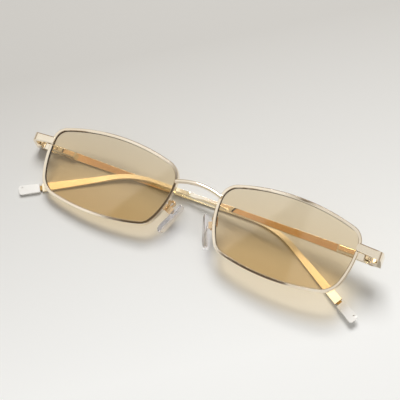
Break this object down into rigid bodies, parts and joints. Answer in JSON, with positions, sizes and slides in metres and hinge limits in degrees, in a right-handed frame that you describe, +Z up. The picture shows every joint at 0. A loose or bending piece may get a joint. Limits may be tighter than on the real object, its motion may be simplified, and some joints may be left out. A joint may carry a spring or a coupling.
{
  "type": "folding sunglasses",
  "caption": "Narrow rectangular metal-rimmed sunglasses with tinted lenses, adjustable nose pads and slim strip temples on sprung hinges, lying folded on their temples.",
  "frame": {"origin": "on the table plane under the middle of the folded glasses' outline", "axes": "+X across the front towards the wearer's left (the temple with the higher hinge), +Y up the front towards the brow, +Z up from the table, out of the front of the lenses, which lean back about 17 degrees from level"},
  "size_m": [0.142, 0.0324, 0.0213],
  "materials": {
    "gold": "polished pale champagne gold plating",
    "lens": "light tea tint, polished both sides",
    "pad": "translucent satin silicone",
    "sleeve": "glossy ivory lacquered sleeve",
    "screw": "plated slotted screw heads",
    "spring": "drawn spring wire",
    "inner_steel": "machined steel"
  },
  "bodies": {
    "front": {"bridge": "gold", "right_rim": "gold", "right_lens": "lens", "right_endpiece": "gold", "right_rim_lock_upper": "gold", "right_rim_lock_lower": "gold", "right_rim_screw": "screw", "right_front_leaf": "gold", "right_hinge_screw": "screw", "right_pad_arm": "gold", "right_pad_box": "gold", "right_pad_screw": "screw", "left_rim": "gold", "left_lens": "lens", "left_endpiece": "gold", "left_rim_lock_upper": "gold", "left_rim_lock_lower": "gold", "left_rim_screw": "screw", "left_front_leaf": "gold", "left_hinge_screw": "screw", "left_pad_arm": "gold", "left_pad_box": "gold", "left_pad_screw": "screw"},
    "right_slider": {"right_hinge_slider": "gold", "right_hinge_spring": "spring"},
    "right_temple": {"right_temple": "gold", "right_temple_tip": "sleeve", "right_spring_housing": "gold", "right_spring_stop": "inner_steel"},
    "right_pad": {"right_nose_pad": "pad"},
    "left_slider": {"left_hinge_slider": "gold", "left_hinge_spring": "spring"},
    "left_temple": {"left_temple": "gold", "left_temple_tip": "sleeve", "left_spring_housing": "gold", "left_spring_stop": "inner_steel"},
    "left_pad": {"left_nose_pad": "pad"}
  },
  "joints": [
    {"name": "right_temple_fold", "type": "hinge", "parent": "front", "child": "right_slider", "pos_m": [0.06745, 0.00639, 0.01312], "axis": [0.0103, -0.9898, -0.1423], "range_deg": [0, 89.1]},
    {"name": "right_spring_slide", "type": "slide", "parent": "right_slider", "child": "right_temple", "axis": [-0.9961, 0.0022, -0.088], "range_m": [0, 0.0012], "stiffness_N_per_m": 1500, "springref_m": -0.001},
    {"name": "left_temple_fold", "type": "hinge", "parent": "front", "child": "left_slider", "pos_m": [-0.06719, 0.00639, 0.00333], "axis": [-0.0103, 0.9898, 0.1423], "range_deg": [0, 85.6]},
    {"name": "left_spring_slide", "type": "slide", "parent": "left_slider", "child": "left_temple", "axis": [0.9999, 0.0109, -0.0035], "range_m": [0, 0.0012], "stiffness_N_per_m": 1500, "springref_m": -0.001},
    {"name": "right_pad_rock", "type": "hinge", "parent": "front", "child": "right_pad", "pos_m": [0.00886, -0.0019, 0.00808], "axis": [-0.0949, -0.2209, 0.9707], "range_deg": [-8, 8]},
    {"name": "left_pad_rock", "type": "hinge", "parent": "front", "child": "left_pad", "pos_m": [-0.00849, -0.0019, 0.00681], "axis": [-0.0465, -0.2209, 0.9742], "range_deg": [-8, 8]}
  ]
}
